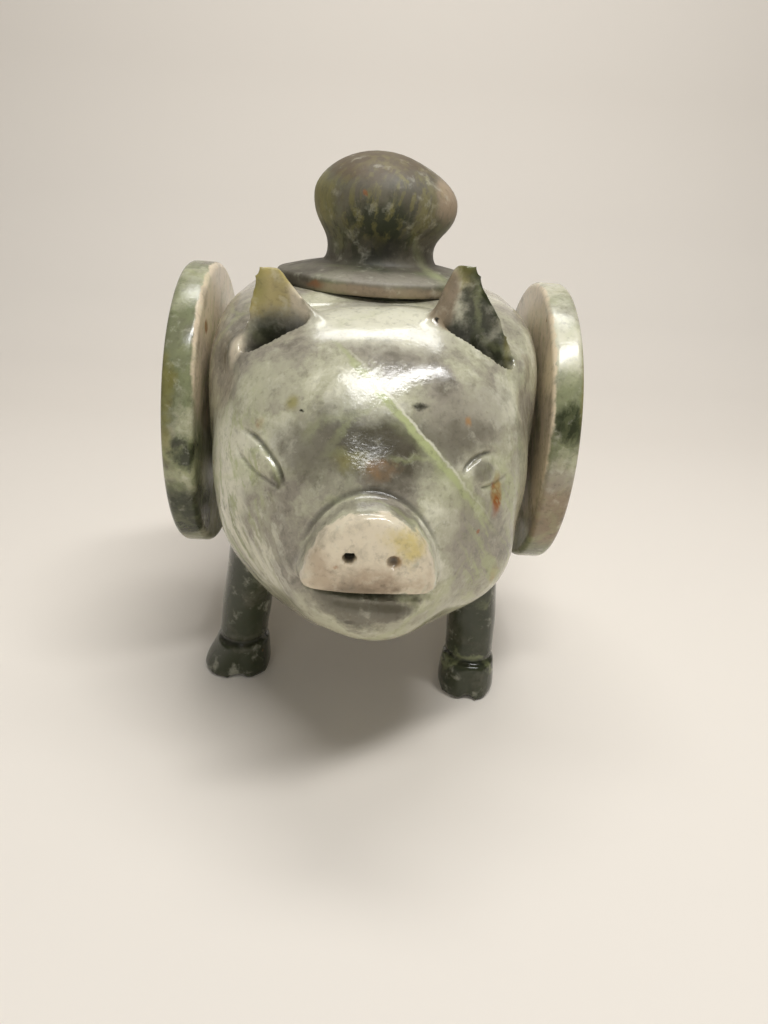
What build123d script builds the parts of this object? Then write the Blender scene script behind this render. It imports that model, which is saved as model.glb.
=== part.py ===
from build123d import *
from math import copysign, cos, sin, tau
import os

# Carved stone pig with a lidded back and a round disc at each flank.
# Millimetres. The pig faces -Y, its left side is +X, and it stands on Z = 0.

# Overrun of every cut past the face that it opens
CUT_OVERRUN = 3.0

# Trunk: a plump loaf of stone from breast to rump
FIGURE_LENGTH = 94.0
TRUNK_LENGTH = 69.0
TRUNK_WIDTH = 54.0
TRUNK_HEIGHT = 52.4
# Slices from rump to breast: place, width, floor and crown
TRUNK_STATION_SHARES = (
    (0.000, 0.17, 0.400, 0.600),
    (0.043, 0.45, 0.270, 0.705),
    (0.115, 0.70, 0.153, 0.820),
    (0.230, 0.89, 0.057, 0.925),
    (0.390, 0.99, 0.010, 0.990),
    (0.610, 1.00, 0.000, 1.000),
    (0.800, 0.99, 0.015, 0.990),
    (0.900, 0.94, 0.050, 0.945),
    (1.000, 0.80, 0.135, 0.840),
)
TRUNK_WAIST_SHARE = 0.50
TRUNK_CROWN_POWER = 5.5
TRUNK_FLOOR_POWER = 2.6

# Head: an egg that runs forward and down to the muzzle
HEAD_WIDTH = 49.0
HEAD_HEIGHT = 51.4
HEAD_DROP = 0.5
HEAD_LAP = 16.0
SNOUT_STAND = 4.2
# Slices from nape to muzzle: place, width, jaw, cheek and brow
HEAD_STATION_SHARES = (
    (0.000, 0.72, 0.180, 0.490, 0.78),
    (0.180, 0.95, 0.045, 0.490, 0.98),
    (0.370, 1.00, 0.030, 0.480, 1.00),
    (0.560, 0.93, 0.045, 0.460, 0.94),
    (0.740, 0.75, 0.100, 0.420, 0.81),
    (0.860, 0.57, 0.150, 0.390, 0.70),
    (0.940, 0.43, 0.190, 0.375, 0.63),
    (0.980, 0.31, 0.235, 0.370, 0.57),
    (1.000, 0.14, 0.310, 0.370, 0.48),
)
HEAD_CROWN_POWER = 2.7
HEAD_FLOOR_POWER = 2.0

# Points of each slice, spaced evenly in angle around its middle
SLICE_POINTS = 16

# Snout: a half-moon boss, flat in front, with two drilled nostrils
SNOUT_WIDTH = 17.4
SNOUT_HEIGHT = 11.0
SNOUT_RISE_SHARE = 0.375
SNOUT_DEPTH = 10.0
SNOUT_CORNER = 2.4
SNOUT_TAPER = 8.0
SNOUT_EDGE = 1.2
NOSTRIL_SPACING = 5.5
NOSTRIL_RISE = 5.4
NOSTRIL_DIAMETER = 1.2
NOSTRIL_DEPTH = 2.0

# Mouth: a wedge sawn in under the snout
MOUTH_DEPTH = 7.0
MOUTH_GAPE = 1.6
MOUTH_WIDTH = 17.0

# Ears: hollow leaves that stand on the brow
EAR_SPACING = 24.6
EAR_Y = -22.0
EAR_DROP = 9.9
EAR_HEIGHT = 16.4
EAR_WIDTH = 19.2
EAR_LEAN = 2.0
EAR_HOLLOW = 4.2
EAR_WALL = 3.0
EAR_RIM = 1.3
EAR_YAW = 14.0
# Slices from root to tip: place, width and outward lean
EAR_STATION_SHARES = (
    (0.0, 1.00, 0.0),
    (0.5, 0.62, 0.5),
    (1.0, 0.16, 1.0),
)

# Legs: four short columns on cloven hooves, run up into the trunk above its belly
LEG_SPACING = 41.8
FRONT_LEG_Y = -10.5
REAR_LEG_Y = 32.0
BELLY_HEIGHT = 17.0
LEG_ROOT_RISE = 17.0
LEG_WIDTH = 9.4
LEG_THICKNESS = 11.0
LEG_LEAN = 4.5
# Slices from hoof to root: place, inward lean, width and thickness
LEG_STATION_SHARES = (
    (0.00, 0.00, 0.92, 0.86),
    (0.45, 0.25, 1.00, 1.04),
    (1.00, 1.00, 1.27, 1.42),
)
HOOF_HEIGHT = 6.8
HOOF_WIDTH = 10.6
HOOF_LENGTH = 12.4
HOOF_TAPER_SHARE = 0.90
HOOF_FORWARD = 0.6
CLEFT_WIDTH = 2.0
CLEFT_DEPTH = 4.6
CLEFT_HEIGHT = 5.6

# Haunches: the swell of each thigh over a rear leg
HAUNCH_RADIUS = 13.0
HAUNCH_SWELL = 9.0
HAUNCH_SPACING = 31.0
HAUNCH_Y = 29.0
HAUNCH_RISE = 18.0

# Tail: a small curl that lies on the rump
TAIL_THICKNESS = 3.6
TAIL_ROOT_LENGTH = 5.0
TAIL_CURL_RADIUS = 3.6
TAIL_CURL_TURN = 250
TAIL_RISE = 39.0

# Discs: a thick round at each flank, both on one axle through the trunk
DISC_DIAMETER = 50.4
DISC_THICKNESS = 5.0
DISC_EDGE = 0.7
DISC_GAP = 0.2
PAD_DIAMETER = 20.0
PAD_STAND = 0.4
AXLE_Y = 5.0
AXLE_RISE = 28.8
AXLE_DIAMETER = 5.0
AXLE_CLEARANCE = 0.05
AXLE_SEAT_DEPTH = 3.5
AXLE_GLUE_LINE = 0.02

# Lid: a plate on a flat ground into the back, with a knob above and a spigot below
LID_DIAMETER = 35.0
LID_THICKNESS = 2.2
LID_EDGE = 0.6
LID_RISE = 1.8
LID_CROWN = 0.3
LID_CLEARANCE = 0.3
SEAT_DROP = 0.7
WELL_DIAMETER = 25.0
WELL_DEPTH = 18.0
WELL_CORNER = 3.0
SPIGOT_DEPTH = 4.0
SPIGOT_CLEARANCE = 0.3
KNOB_HEIGHT = 17.2
KNOB_BASE_DIAMETER = 18.4
KNOB_DIAMETER = 23.2
KNOB_SHOULDER_HEIGHT = 10.2
KNOB_EDGE = 2.0

# Places that follow from the sizes above
SNOUT_Y = -FIGURE_LENGTH / 2
RUMP_Y = FIGURE_LENGTH / 2
BREAST_Y = RUMP_Y - TRUNK_LENGTH
HEAD_BACK_Y = BREAST_Y + HEAD_LAP
MUZZLE_Y = SNOUT_Y + SNOUT_STAND
HEAD_LENGTH = HEAD_BACK_Y - MUZZLE_Y
HEAD_FLOOR_Z = BELLY_HEIGHT - HEAD_DROP
SNOUT_FLOOR_Z = HEAD_FLOOR_Z + SNOUT_RISE_SHARE * HEAD_HEIGHT
EAR_ROOT_Z = HEAD_FLOOR_Z + HEAD_HEIGHT - EAR_DROP
LEG_LENGTH = BELLY_HEIGHT + LEG_ROOT_RISE - HOOF_HEIGHT
HAUNCH_Z = BELLY_HEIGHT + HAUNCH_RISE
TAIL_Z = BELLY_HEIGHT + TAIL_RISE
AXLE_Z = BELLY_HEIGHT + AXLE_RISE
SEAT_Z = BELLY_HEIGHT + TRUNK_HEIGHT - SEAT_DROP
DISC_INNER_X = TRUNK_WIDTH / 2 + PAD_STAND + DISC_GAP
AXLE_REACH = DISC_INNER_X + AXLE_SEAT_DEPTH
LID_SECTION = Plane((0, AXLE_Y, SEAT_Z), x_dir=(1, 0, 0), z_dir=(0, -1, 0))
LID_AXIS = Axis((0, AXLE_Y, SEAT_Z), (0, 0, 1))
AXLE_PLANE = Plane((0, AXLE_Y, AXLE_Z), x_dir=(0, 1, 0), z_dir=(1, 0, 0))
SIDES = (1, -1)


def slice_outline(half_width, floor_z, waist_z, crown_z, floor_power, crown_power):
    """Closed outline of one slice across the pig, fuller than an ellipse at its corners."""
    points = []
    for step in range(SLICE_POINTS):
        across = cos(tau * step / SLICE_POINTS)
        up = sin(tau * step / SLICE_POINTS)
        power = crown_power if up > 0 else floor_power
        reach = crown_z - waist_z if up > 0 else waist_z - floor_z
        x = half_width * copysign(abs(across) ** (2 / power), across)
        z = waist_z + reach * copysign(abs(up) ** (2 / power), up)
        points.append((x, z))
    Spline(*points, periodic=True)


def ear_outline(width, lean):
    """Crescent across one ear, hollow towards the front."""
    share = width / EAR_WIDTH
    inner_x = lean - width / 2
    outer_x = lean + width / 2
    hollow = EAR_HOLLOW * share
    back = hollow + EAR_RIM + (EAR_WALL - EAR_RIM) * share
    ThreePointArc((inner_x, 0), (lean, hollow), (outer_x, 0))
    Line((outer_x, 0), (outer_x, EAR_RIM))
    ThreePointArc((outer_x, EAR_RIM), (lean, back), (inner_x, EAR_RIM))
    Line((inner_x, EAR_RIM), (inner_x, 0))


with BuildPart() as body:
    # Trunk
    for along, width, floor, crown in TRUNK_STATION_SHARES:
        trunk_floor = BELLY_HEIGHT + floor * TRUNK_HEIGHT
        trunk_crown = BELLY_HEIGHT + crown * TRUNK_HEIGHT
        trunk_waist = trunk_floor + TRUNK_WAIST_SHARE * (trunk_crown - trunk_floor)
        with BuildSketch(Plane.XZ.offset(along * TRUNK_LENGTH - RUMP_Y)):
            with BuildLine():
                slice_outline(
                    width * TRUNK_WIDTH / 2,
                    trunk_floor,
                    trunk_waist,
                    trunk_crown,
                    TRUNK_FLOOR_POWER,
                    TRUNK_CROWN_POWER,
                )
            make_face()
    loft()

    # Head
    for along, width, jaw, cheek, brow in HEAD_STATION_SHARES:
        with BuildSketch(Plane.XZ.offset(along * HEAD_LENGTH - HEAD_BACK_Y)):
            with BuildLine():
                slice_outline(
                    width * HEAD_WIDTH / 2,
                    HEAD_FLOOR_Z + jaw * HEAD_HEIGHT,
                    HEAD_FLOOR_Z + cheek * HEAD_HEIGHT,
                    HEAD_FLOOR_Z + brow * HEAD_HEIGHT,
                    HEAD_FLOOR_POWER,
                    HEAD_CROWN_POWER,
                )
            make_face()
    loft()

    # Snout, mouth and nostrils
    with BuildPart() as snout:
        with BuildSketch(Plane((0, SNOUT_Y, SNOUT_FLOOR_Z), x_dir=(-1, 0, 0), z_dir=(0, 1, 0))):
            with BuildLine():
                snout_arch = EllipticalCenterArc((0, 0), SNOUT_WIDTH / 2, SNOUT_HEIGHT, 0, arc_size=180)
                Line(snout_arch @ 1, snout_arch @ 0)
            make_face()
            fillet(vertices(), SNOUT_CORNER)
        extrude(amount=SNOUT_DEPTH, taper=-SNOUT_TAPER)
        fillet(snout.faces().sort_by(Axis.Y)[0].edges(), SNOUT_EDGE)
    with BuildSketch(Plane.YZ):
        with BuildLine():
            Polyline(
                (SNOUT_Y - CUT_OVERRUN, SNOUT_FLOOR_Z),
                (SNOUT_Y + MOUTH_DEPTH, SNOUT_FLOOR_Z),
                (SNOUT_Y - CUT_OVERRUN, SNOUT_FLOOR_Z - MOUTH_GAPE),
                close=True,
            )
        make_face()
    extrude(amount=MOUTH_WIDTH / 2, both=True, mode=Mode.SUBTRACT)
    nostril_plane = Plane((0, SNOUT_Y, SNOUT_FLOOR_Z + NOSTRIL_RISE), x_dir=(1, 0, 0), z_dir=(0, -1, 0))
    with Locations(nostril_plane):
        with GridLocations(NOSTRIL_SPACING, 0, 2, 1):
            Hole(NOSTRIL_DIAMETER / 2, NOSTRIL_DEPTH)

    # Ears
    for side in SIDES:
        ear_plane = Plane((side * EAR_SPACING / 2, EAR_Y, EAR_ROOT_Z))
        ear_plane = ear_plane.rotated((0, 0, side * EAR_YAW))
        for along, width, lean in EAR_STATION_SHARES:
            with BuildSketch(ear_plane.offset(along * EAR_HEIGHT)):
                with BuildLine():
                    ear_outline(width * EAR_WIDTH, side * lean * EAR_LEAN)
                make_face()
        loft()

    # Haunches
    for side in SIDES:
        with BuildSketch(Plane((side * HAUNCH_SPACING / 2, HAUNCH_Y, HAUNCH_Z))):
            with BuildLine():
                haunch_arch = EllipticalCenterArc((0, 0), HAUNCH_SWELL, HAUNCH_RADIUS, 0, arc_size=180)
                Line(haunch_arch @ 1, haunch_arch @ 0)
            make_face()
        revolve(axis=Axis((0, HAUNCH_Y, HAUNCH_Z), (1, 0, 0)))

    # Tail, laid on the rump where the surface is met from behind
    rump_point, rump_normal = body.part.find_intersection_points(
        Axis((0, RUMP_Y + CUT_OVERRUN, TAIL_Z), (0, -1, 0))
    )[0]
    tail_plane = Plane(rump_point, x_dir=(-1, 0, 0), z_dir=rump_normal)
    with BuildLine(tail_plane) as tail_path:
        Line((0, TAIL_ROOT_LENGTH), (0, 0))
        JernArc((0, 0), (0, -1), TAIL_CURL_RADIUS, TAIL_CURL_TURN)
    with BuildSketch(tail_path.line ^ 0):
        Circle(TAIL_THICKNESS / 2)
    sweep(path=tail_path.line)

    # Legs and hooves
    for leg_y in (FRONT_LEG_Y, REAR_LEG_Y):
        for side in SIDES:
            leg_x = side * LEG_SPACING / 2
            for along, lean, width, thickness in LEG_STATION_SHARES:
                with BuildSketch(Plane.XY.offset(HOOF_HEIGHT + along * LEG_LENGTH)):
                    with Locations((leg_x - side * lean * LEG_LEAN, leg_y)):
                        Ellipse(width * LEG_WIDTH / 2, thickness * LEG_THICKNESS / 2)
            loft()
            for height, share in ((0, 1), (HOOF_HEIGHT, HOOF_TAPER_SHARE)):
                with BuildSketch(Plane.XY.offset(height)):
                    with Locations((leg_x, leg_y - HOOF_FORWARD)):
                        Ellipse(share * HOOF_WIDTH / 2, share * HOOF_LENGTH / 2)
            loft()
            with BuildSketch(Plane.XY):
                with BuildLine():
                    toe_y = leg_y - HOOF_FORWARD - HOOF_LENGTH / 2
                    Polyline(
                        (leg_x - CLEFT_WIDTH / 2, toe_y),
                        (leg_x, toe_y + CLEFT_DEPTH),
                        (leg_x + CLEFT_WIDTH / 2, toe_y),
                        close=True,
                    )
                make_face()
            extrude(amount=CLEFT_HEIGHT, mode=Mode.SUBTRACT)

    # Flat pads that the discs run against, and the bore for their axle
    with BuildSketch(AXLE_PLANE):
        Circle(PAD_DIAMETER / 2)
    extrude(amount=DISC_INNER_X - DISC_GAP, both=True)
    with BuildSketch(AXLE_PLANE):
        Circle(AXLE_DIAMETER / 2 + AXLE_CLEARANCE)
    extrude(amount=DISC_INNER_X, both=True, mode=Mode.SUBTRACT)

    # Flat ground for the lid, and the well below it
    with BuildSketch(LID_SECTION):
        with BuildLine():
            Polyline(
                (0, SEAT_DROP + CUT_OVERRUN),
                (LID_DIAMETER / 2 + LID_CLEARANCE, SEAT_DROP + CUT_OVERRUN),
                (LID_DIAMETER / 2 + LID_CLEARANCE, 0),
                (WELL_DIAMETER / 2, 0),
                (WELL_DIAMETER / 2, -WELL_DEPTH),
                (0, -WELL_DEPTH),
                close=True,
            )
        make_face()
        fillet(vertices().sort_by_distance((WELL_DIAMETER / 2, -WELL_DEPTH))[0], WELL_CORNER)
    revolve(axis=LID_AXIS, mode=Mode.SUBTRACT)

with BuildPart() as lid:
    with BuildSketch(LID_SECTION):
        with BuildLine():
            knob_base = LID_THICKNESS + LID_RISE
            knob_top = knob_base + KNOB_HEIGHT
            knob_shoulder = knob_base + KNOB_SHOULDER_HEIGHT
            dome_rise = knob_top - knob_shoulder
            dome_radius = (KNOB_DIAMETER**2 / 4 + dome_rise**2) / (2 * dome_rise)
            RadiusArc((KNOB_DIAMETER / 2, knob_shoulder), (0, knob_top), -dome_radius)
            Line((KNOB_DIAMETER / 2, knob_shoulder), (KNOB_BASE_DIAMETER / 2, knob_base))
            SagittaArc((KNOB_BASE_DIAMETER / 2, knob_base), (LID_DIAMETER / 2, LID_THICKNESS), LID_CROWN)
            Polyline(
                (LID_DIAMETER / 2, LID_THICKNESS),
                (LID_DIAMETER / 2, 0),
                (WELL_DIAMETER / 2 - SPIGOT_CLEARANCE, 0),
                (WELL_DIAMETER / 2 - SPIGOT_CLEARANCE, -SPIGOT_DEPTH),
                (0, -SPIGOT_DEPTH),
                (0, knob_top),
            )
        make_face()
        fillet(vertices().group_by(Axis.X)[-1], LID_EDGE)
        fillet(vertices().sort_by_distance((KNOB_DIAMETER / 2, knob_shoulder))[0], KNOB_EDGE)
    revolve(axis=LID_AXIS)

with BuildPart() as left_disc:
    with BuildSketch(AXLE_PLANE.offset(DISC_INNER_X)):
        Circle(DISC_DIAMETER / 2)
    extrude(amount=DISC_THICKNESS)
    fillet(left_disc.edges().filter_by(GeomType.CIRCLE), DISC_EDGE)
    with BuildSketch(AXLE_PLANE.offset(DISC_INNER_X)):
        Circle(AXLE_DIAMETER / 2 + AXLE_GLUE_LINE)
    extrude(amount=AXLE_SEAT_DEPTH, mode=Mode.SUBTRACT)

with BuildPart() as right_disc:
    mirror(left_disc.part, about=Plane.YZ)

with BuildPart() as axle:
    with BuildSketch(AXLE_PLANE):
        Circle(AXLE_DIAMETER / 2)
    extrude(amount=AXLE_REACH, both=True)

os.makedirs("parts", exist_ok=True)
body.part.label = "body"
export_step(body.part, "parts/body.step")
lid.part.label = "lid"
export_step(lid.part, "parts/lid.step")
left_disc.part.label = "left_disc"
export_step(left_disc.part, "parts/left_disc.step")
right_disc.part.label = "right_disc"
export_step(right_disc.part, "parts/right_disc.step")
axle.part.label = "axle"
export_step(axle.part, "parts/axle.step")
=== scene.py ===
import math

import bmesh
import bpy
from mathutils import Matrix, Vector, noise
from mathutils.geometry import interpolate_bezier, intersect_point_line


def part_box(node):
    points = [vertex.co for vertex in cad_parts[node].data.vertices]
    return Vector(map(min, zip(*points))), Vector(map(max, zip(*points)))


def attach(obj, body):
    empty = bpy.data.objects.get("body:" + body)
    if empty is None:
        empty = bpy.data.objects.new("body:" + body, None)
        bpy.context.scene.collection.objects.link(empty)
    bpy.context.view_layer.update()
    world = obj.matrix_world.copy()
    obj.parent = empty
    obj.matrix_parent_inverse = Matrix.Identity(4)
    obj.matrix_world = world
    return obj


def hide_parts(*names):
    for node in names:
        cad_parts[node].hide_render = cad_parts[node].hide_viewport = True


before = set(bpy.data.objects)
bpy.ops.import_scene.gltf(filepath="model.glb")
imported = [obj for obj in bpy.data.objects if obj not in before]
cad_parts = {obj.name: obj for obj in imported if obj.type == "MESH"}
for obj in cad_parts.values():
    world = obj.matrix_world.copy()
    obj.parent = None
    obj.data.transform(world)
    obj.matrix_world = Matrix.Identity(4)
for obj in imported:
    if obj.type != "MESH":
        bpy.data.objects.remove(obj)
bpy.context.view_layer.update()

# The pig: one block of mottled stone, sawn to shape, ground round and polished by hand.
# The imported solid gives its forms. They are ground into each other here, and the fine carving is cut:
# the hollows of the ears, the eyes, the line over the snout, the lips and the creases of the feet.
MM = 0.001


def in_metres(point):
    """A point in millimetres as a vector in metres."""
    return Vector(point) * MM


def smooth_step(low, high, value):
    """0 below low, 1 above high, and an even rise between them."""
    share = min(1.0, max(0.0, (value - low) / (high - low)))
    return share * share * (3.0 - 2.0 * share)


def as_object(name, mesh):
    """A new object with this mesh, in the scene."""
    piece = bpy.data.objects.new(name, mesh)
    bpy.context.scene.collection.objects.link(piece)
    return piece


def settle(piece):
    """Applies the piece's modifiers to its mesh."""
    graph = bpy.context.evaluated_depsgraph_get()
    piece.data = bpy.data.meshes.new_from_object(
        piece.evaluated_get(graph), preserve_all_data_layers=True, depsgraph=graph
    )
    piece.modifiers.clear()
    piece.data.materials.clear()


def polish(shape, verts, passes):
    """Rubs the surface down, a little with each pass."""
    for _ in range(passes):
        bmesh.ops.smooth_vert(
            shape, verts=verts, factor=0.5, use_axis_x=True, use_axis_y=True, use_axis_z=True
        )


def near(shape, centre, reach):
    """The vertices of shape within reach of centre."""
    return [v for v in shape.verts if (v.co - centre).length < reach]


def both_sides(areas):
    """Each area (centre, reach, amount) in metres, followed by its mirror image if it is off the middle."""
    for (x, y, z), reach, amount in areas:
        for side in (1, -1) if x else (1,):
            yield in_metres((side * x, y, z)), reach * MM, amount


def swell(shape, centre, reach, height):
    """Raises the surface around centre, or sinks it where height is negative."""
    shape.normal_update()
    for v in near(shape, centre, reach):
        v.co += v.normal * height * (1.0 - ((v.co - centre).length / reach) ** 2) ** 2


def cut_line(shape, painted_shade, points, width, depth, shade_share):
    """Cuts a rounded line along a curve of four points, fading at its ends, and marks it for painted shade,
    which darkens it in the colour.
    """
    path_points = 24
    search = 3.0 * width
    end_fade = (-0.05, 0.25)
    path = interpolate_bezier(*[in_metres(p) for p in points], path_points)
    middle = sum(path, Vector()) / len(path)
    reach = max((p - middle).length for p in path) + search
    shape.normal_update()
    for v in near(shape, middle, reach):
        gap = reach
        for index, (start, end) in enumerate(zip(path, path[1:])):
            spot, share = intersect_point_line(v.co, start, end)
            spot = start if share < 0.0 else end if share > 1.0 else spot
            aside = v.co - spot
            aside -= v.normal * aside.dot(v.normal)
            if (v.co - spot).length < search and aside.length < gap:
                gap = aside.length
                along = index / (len(path) - 2)
        if gap < width:
            fall = (1.0 - (gap / width) ** 2) ** 2
            fall *= smooth_step(*end_fade, along) * smooth_step(*end_fade, 1.0 - along)
            v.co -= v.normal * depth * fall
            # Painted shade: the deeper the cut, the darker its colour.
            v[painted_shade] = max(v[painted_shade], shade_share * fall)


def spun(profile, axis_y, steps):
    """A closed shape turned about the upright line at axis_y, from (radius, height) in millimetres."""
    shape = bmesh.new()
    line = [shape.verts.new((r * MM, axis_y, z * MM)) for r, z in profile]
    edges = [shape.edges.new(pair) for pair in zip(line, line[1:])]
    bmesh.ops.spin(
        shape, geom=line + edges, cent=(0.0, axis_y, 0.0), axis=(0.0, 0.0, 1.0),
        angle=math.tau, steps=steps, use_merge=True,
    )
    bmesh.ops.remove_doubles(shape, verts=shape.verts, dist=0.01 * MM)
    bmesh.ops.recalc_face_normals(shape, faces=shape.faces)
    return shape


# The forms, ground together
GRIT = 0.74 * MM
POLISH_PASSES = 6
FINE_PASSES = 5
# Where two forms meet, on the pig's left or in its middle: centre, reach and passes of the grinding
MELTS = (
    ((19.0, -10.5, 21.0), 8.0, 28),
    ((18.5, 31.0, 24.0), 13.0, 28),
    ((0.0, -14.0, 66.5), 10.0, 28),
    ((21.0, -16.5, 52.0), 9.0, 28),
    ((21.0, -17.0, 36.0), 9.0, 28),
    ((0.0, -16.0, 20.0), 10.0, 28),
    ((16.5, -20.5, 68.5), 8.0, 5),
)
# Where faces are divided for fine work, on its left or in its middle: centre, reach and cuts of an edge
FINE_AREAS = (
    ((15.5, -33.5, 49.0), 8.0, 2),
    ((0.0, -43.0, 38.0), 14.0, 2),
    ((13.5, -21.0, 66.0), 10.0, 1),
    ((20.9, -13.0, 5.0), 9.0, 1),
)
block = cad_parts["body"].data.copy()
shape = bmesh.new()
shape.from_mesh(block)
bmesh.ops.remove_doubles(shape, verts=shape.verts, dist=0.001 * MM)
shape.to_mesh(block)
shape.free()
pig = as_object("pig", block)
grinding = pig.modifiers.new("grinding", "REMESH")
grinding.mode = "VOXEL"
grinding.voxel_size = GRIT
settle(pig)
shape = bmesh.new()
shape.from_mesh(pig.data)
# A layer of painted shade on the pig: how far each carved line, hollow and nostril is darkened towards
# black.
painted_shade = shape.verts.layers.float.new("painted_shade")
for centre, reach, passes in both_sides(MELTS):
    polish(shape, near(shape, centre, reach), passes)
polish(shape, shape.verts, POLISH_PASSES)
for centre, reach, cuts in both_sides(FINE_AREAS):
    inside = set(near(shape, centre, reach))
    edges = [e for e in shape.edges if e.verts[0] in inside and e.verts[1] in inside]
    bmesh.ops.subdivide_edges(shape, edges=edges, cuts=cuts, use_grid_fill=True)
    polish(shape, near(shape, centre, reach), FINE_PASSES)

# The fine carving
# Cheeks, chin and brow that aren't quite even: middle, reach and height of each swelling
LUMPS = (
    ((-15.5, -32.0, 29.5), 12.0, -1.0),
    ((18.5, -29.0, 31.0), 10.0, 1.3),
    ((3.0, -39.0, 25.5), 9.0, 0.9),
    ((-15.6, -33.4, 49.0), 6.5, -0.5),
    ((15.4, -33.4, 49.0), 6.5, -0.5),
    ((-15.2, -33.8, 49.3), 3.2, 0.6),
    ((15.0, -33.8, 49.1), 2.7, 0.75),
    ((0.0, -41.5, 30.6), 5.0, 0.4),
    ((21.0, -20.0, 61.0), 5.0, 0.9),
    ((-21.0, -20.0, 61.5), 5.0, 1.1),
    ((0.0, -47.0, 41.0), 9.0, 0.5),
)
# Each eye has an upper and a lower lid, cut as curves from corner to corner
UPPER_LIDS = (
    ((-18.6, -29.8, 52.2), (-16.0, -32.2, 52.2), (-12.8, -36.0, 49.8), (-11.4, -38.4, 45.8)),
    ((11.9, -36.6, 48.8), (12.9, -35.0, 50.9), (14.8, -33.2, 51.8), (17.2, -31.2, 51.0)),
)
LOWER_LIDS = (
    ((-19.2, -29.8, 50.0), (-17.8, -32.0, 47.0), (-14.6, -35.2, 46.8), (-11.8, -38.0, 46.2)),
    ((14.0, -35.6, 47.4), (16.0, -33.8, 46.2), (17.6, -32.0, 46.9), (19.6, -30.0, 48.2)),
)
# Each line is cut with a width, a depth and a share of painted shade, which darkens the cut line
UPPER_LID_CUT = (0.70 * MM, 0.50 * MM, 0.70)
LOWER_LID_CUT = (0.60 * MM, 0.32 * MM, 0.45)
MOUTH_CUT = (0.9 * MM, 1.6 * MM, 1.0)
LOWER_LIP_CUT = (1.7 * MM, -0.45 * MM, 0.0)
MOUTH_LINE = ((-9.6, -41.0, 34.8), (-4.0, -43.4, 34.2), (4.0, -43.4, 33.7), (9.6, -40.6, 33.4))
LOWER_LIP = ((-7.6, -41.6, 31.6), (-3.0, -42.6, 31.2), (3.0, -42.6, 30.8), (7.6, -41.2, 30.6))
SNOUT_FOOT_Z = 35.8 * MM
SNOUT_LINE_WIDTH = 9.9 * MM
SNOUT_LINE_HEIGHT = 12.4 * MM
SNOUT_LINE_REACH = 0.42 * MM
SNOUT_LINE_DEPTH = 0.42 * MM
SNOUT_LINE_FRONT_Y = -44.0 * MM
SNOUT_LINE_BACK_Y = -36.0 * MM
SNOUT_LINE_LOW_Z = 38.5 * MM
SNOUT_LINE_FULL_Z = 44.0 * MM
# How much painted shade darkens the line over the snout
SNOUT_LINE_SHADE = 0.62
# The lower corners of the snout stand out to the sides
SNOUT_CORNER = 0.9 * MM
SNOUT_CORNER_DROP = 0.5 * MM
SNOUT_CORNER_RISE = 4.0 * MM
SNOUT_CORNER_RUN = 3.5 * MM
SNOUT_CORNER_INNER_X = 3.0 * MM
SNOUT_CORNER_OUTER_X = 8.0 * MM
# The nostrils: place, radius and depth of the drilling, which stopped early on one side
NOSTRILS = (((-2.6, -47.35, 41.2), 0.85, 2.4), ((3.0, -47.35, 40.9), 0.95, 0.9))
NOSTRIL_PASSES = 10
NOSTRIL_RUB = 2.5
NOSTRIL_SEARCH = 3.0
NOSTRIL_RIM = 1.5
# The ears: middle of the scooped hollow, its three reaches and how far it is sunk, for one side
EAR_SCOOP = (14.6, -21.0, 64.4)
EAR_SCOOP_SLOPE = (0.85, 0.0, -0.53)
EAR_SCOOP_REACH = (6.4, 2.4, 3.6)
EAR_SCOOP_SINK = (0.0, 0.7, -3.4)
EAR_SCOOP_STEEPNESS = 1.8
EAR_SCOOP_PASSES = 2
for centre, reach, height in LUMPS:
    swell(shape, in_metres(centre), reach * MM, height * MM)
for side in (1, -1):
    middle = Vector((side * EAR_SCOOP[0], *EAR_SCOOP[1:])) * MM
    along = Vector((side * EAR_SCOOP_SLOPE[0], *EAR_SCOOP_SLOPE[1:])).normalized()
    back = Vector((0.0, 1.0, 0.0))
    turned = Matrix((along, back, along.cross(back)))
    scooped = []
    for v in near(shape, middle, EAR_SCOOP_REACH[0] * MM):
        spot = turned @ (v.co - middle) / MM
        room = 1.0 - sum((s / r) ** 2 for s, r in zip(spot, EAR_SCOOP_REACH))
        if room > 0.0:
            share = min(1.0, EAR_SCOOP_STEEPNESS * room)
            v.co += in_metres(EAR_SCOOP_SINK) * share
            # Painted shade: the scooped hollow of the ear is darkened in full.
            v[painted_shade] = max(v[painted_shade], share)
            scooped.append(v)
    polish(shape, scooped, EAR_SCOOP_PASSES)
for points in UPPER_LIDS:
    cut_line(shape, painted_shade, points, *UPPER_LID_CUT)
for points in LOWER_LIDS:
    cut_line(shape, painted_shade, points, *LOWER_LID_CUT)
cut_line(shape, painted_shade, LOWER_LIP, *LOWER_LIP_CUT)
cut_line(shape, painted_shade, MOUTH_LINE, *MOUTH_CUT)
shape.normal_update()
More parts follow.
